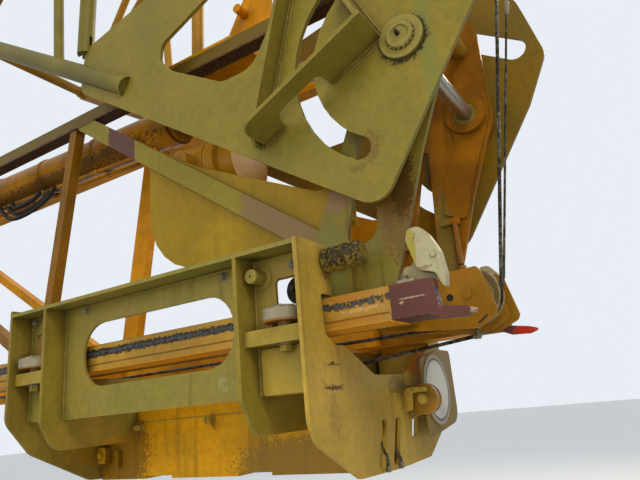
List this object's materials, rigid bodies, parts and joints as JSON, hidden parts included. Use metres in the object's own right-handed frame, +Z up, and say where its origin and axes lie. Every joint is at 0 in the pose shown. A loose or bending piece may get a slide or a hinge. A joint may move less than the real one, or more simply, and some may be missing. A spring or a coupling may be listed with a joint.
{
  "type": "folding tower crane head joint",
  "caption": "Head joint of a folding tower crane: lattice mast head, jib foot hinged over it and a guide frame that rolls along the mast's rails.",
  "frame": {"origin": "on the mast's end face, at the height of the guide rails' centre line, midway between the two rails", "axes": "+X along the mast from its end face towards its head, +Y across the mast towards the far side, +Z up"},
  "size_m": [4.1027, 0.984, 3.0498],
  "materials": {
    "rail_paint": "worn satin paint with grease and rust",
    "claw_paint": "worn maroon primer, bare at the edges",
    "lattice_paint": "satin",
    "frame_paint": "satin",
    "head_paint": "satin with rust streaks",
    "ram_paint": "satin",
    "drum_paint": "satin",
    "rope_steel": "greased wire",
    "sheave_paint": "satin",
    "latch_paint": "satin",
    "guide_paint": "satin with scratches",
    "roller_steel": "worn",
    "sign_face": "satin",
    "buffer": "rusty",
    "jib_paint": "satin",
    "pin_steel": "greased"
  },
  "bodies": {
    "mast": {"rail_near": "rail_paint", "rail_far": "rail_paint", "claw_near": "claw_paint", "claw_far": "claw_paint", "lattice_near": "lattice_paint", "lattice_far": "lattice_paint", "cross_bars": "lattice_paint", "end_frame": "frame_paint", "head_plate_near": "head_paint", "head_plate_far": "head_paint", "gusset_near": "head_paint", "gusset_far": "head_paint", "head_strut": "head_paint", "ram": "ram_paint", "drum": "drum_paint", "sheave_box": "head_paint", "hoist_ropes": "rope_steel", "latch_bracket_near": "head_paint", "latch_bracket_far": "head_paint"},
    "sheave": {"rope_sheave": "sheave_paint"},
    "latch_near": {"latch_near": "latch_paint"},
    "latch_far": {"latch_far": "latch_paint"},
    "guide_frame": {"rear_rib": "guide_paint", "rear_inner_rib": "guide_paint", "front_inner_rib": "guide_paint", "nose_plate": "guide_paint", "side_plate_near": "guide_paint", "side_plate_far": "guide_paint", "centre_box": "guide_paint", "roller_bracket_near": "guide_paint", "roller_bracket_far": "guide_paint", "sign_plate": "sign_face", "rope_roller_bracket": "guide_paint", "end_buffer": "buffer"},
    "roller_rear_near": {"roller_rear_near": "roller_steel"},
    "roller_front_near": {"roller_front_near": "roller_steel"},
    "roller_rear_far": {"roller_rear_far": "roller_steel"},
    "roller_front_far": {"roller_front_far": "roller_steel"},
    "rope_roller": {"rope_roller": "roller_steel"},
    "jib_foot": {"jib_plate_near": "jib_paint", "jib_plate_far": "jib_paint", "jib_lattice_near": "jib_paint", "jib_lattice_far": "jib_paint", "jib_cross_tubes": "jib_paint", "jib_pin": "pin_steel"}
  },
  "joints": [
    {"name": "guide_slide", "type": "slide", "parent": "mast", "child": "guide_frame", "axis": [1, 0, 0], "range_m": [-0.6, 0]},
    {"name": "jib_hinge", "type": "hinge", "parent": "mast", "child": "jib_foot", "pos_m": [3.81, 0, 0.735], "axis": [0, 1, 0], "range_deg": [0, 110]},
    {"name": "sheave_spin", "type": "hinge", "parent": "mast", "child": "sheave", "pos_m": [3.79, 0, 0.038], "axis": [0, 1, 0], "continuous": true},
    {"name": "latch_near_hinge", "type": "hinge", "parent": "mast", "child": "latch_near", "pos_m": [3.768, -0.325, 0.12], "axis": [0, -1, 0], "range_deg": [0, 70]},
    {"name": "latch_far_hinge", "type": "hinge", "parent": "mast", "child": "latch_far", "pos_m": [3.768, 0.325, 0.12], "axis": [0, -1, 0], "range_deg": [0, 70]},
    {"name": "roller_rear_near_spin", "type": "hinge", "parent": "guide_frame", "child": "roller_rear_near", "pos_m": [2.265, -0.4233, 0.011], "axis": [0, 0, 1], "continuous": true},
    {"name": "roller_front_near_spin", "type": "hinge", "parent": "guide_frame", "child": "roller_front_near", "pos_m": [3.3855, -0.4233, 0.011], "axis": [0, 0, 1], "continuous": true},
    {"name": "roller_rear_far_spin", "type": "hinge", "parent": "guide_frame", "child": "roller_rear_far", "pos_m": [2.265, 0.4233, 0.011], "axis": [0, 0, 1], "continuous": true},
    {"name": "roller_front_far_spin", "type": "hinge", "parent": "guide_frame", "child": "roller_front_far", "pos_m": [3.3855, 0.4233, 0.011], "axis": [0, 0, 1], "continuous": true},
    {"name": "rope_roller_spin", "type": "hinge", "parent": "guide_frame", "child": "rope_roller", "pos_m": [3.548, 0.11, -0.243], "axis": [0, 1, 0], "continuous": true}
  ]
}
